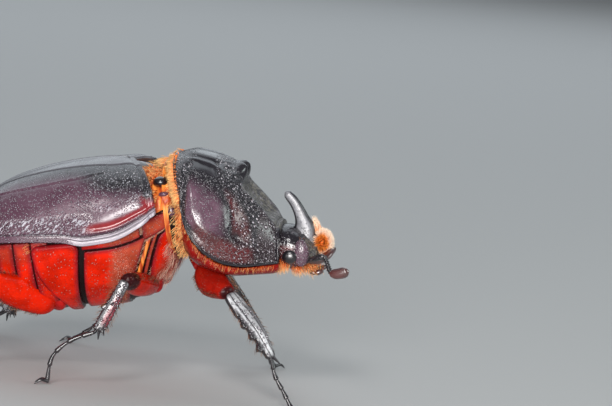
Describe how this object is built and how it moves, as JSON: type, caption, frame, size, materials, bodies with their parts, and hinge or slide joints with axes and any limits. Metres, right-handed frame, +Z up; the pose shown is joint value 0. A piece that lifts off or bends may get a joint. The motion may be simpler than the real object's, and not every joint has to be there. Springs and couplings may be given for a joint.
{
  "type": "rhinoceros beetle",
  "caption": "Life-size model of a male rhinoceros beetle standing on its feet, with a curved head horn, a hollowed thorax shield and purple-brown wing cases.",
  "frame": {"origin": "on the floor under the middle of the beetle's bounding box", "axes": "+X the way the head points, +Y to the beetle's left, +Z up"},
  "size_m": [0.0483, 0.03, 0.0255],
  "materials": {
    "shell_black": "glossy black shell, punctured, with a blue-grey sheen and purple-brown flanks",
    "shell_purple": "glossy purple-brown shell with fine punctures, black beside the suture",
    "cuticle_red": "glossy orange-red cuticle with black seams and short pale hairs",
    "leg_dark": "glossy black to dark brown, ridged and punctured",
    "hide_orange": "soft orange-brown membrane under orange hair",
    "hair_orange": "stiff orange hair",
    "eye_black": "glossy black, very finely faceted",
    "club_brown": "glossy red-brown"
  },
  "bodies": {
    "root": {"pronotum": "shell_black", "head": "shell_black", "horn": "shell_black", "scutellum": "shell_black", "elytron_left": "shell_purple", "elytron_right": "shell_purple", "prosternum": "cuticle_red", "mesothorax": "cuticle_red", "metathorax": "cuticle_red", "abdomen": "cuticle_red", "pygidium": "cuticle_red", "coxa_hind_left": "cuticle_red", "coxa_hind_right": "cuticle_red", "coxa_front_left": "cuticle_red", "femur_front_left": "cuticle_red", "tibia_front_left": "leg_dark", "tarsus_front_left": "leg_dark", "coxa_front_right": "cuticle_red", "femur_front_right": "cuticle_red", "tibia_front_right": "leg_dark", "tarsus_front_right": "leg_dark", "coxa_middle_left": "cuticle_red", "femur_middle_left": "cuticle_red", "tibia_middle_left": "leg_dark", "tarsus_middle_left": "leg_dark", "coxa_middle_right": "cuticle_red", "femur_middle_right": "cuticle_red", "tibia_middle_right": "leg_dark", "tarsus_middle_right": "leg_dark", "trochanter_hind_left": "cuticle_red", "femur_hind_left": "cuticle_red", "tibia_hind_left": "leg_dark", "tarsus_hind_left": "leg_dark", "trochanter_hind_right": "cuticle_red", "femur_hind_right": "cuticle_red", "tibia_hind_right": "leg_dark", "tarsus_hind_right": "leg_dark", "waist": "hide_orange", "mouth_brush": "hair_orange", "eye_left": "eye_black", "eye_right": "eye_black", "antenna_stalk_left": "leg_dark", "antenna_stalk_right": "leg_dark", "antenna_club_left": "club_brown", "antenna_club_right": "club_brown", "mandible_left": "club_brown", "mandible_right": "club_brown", "palp_left": "club_brown", "palp_right": "club_brown"}
  },
  "joints": []
}
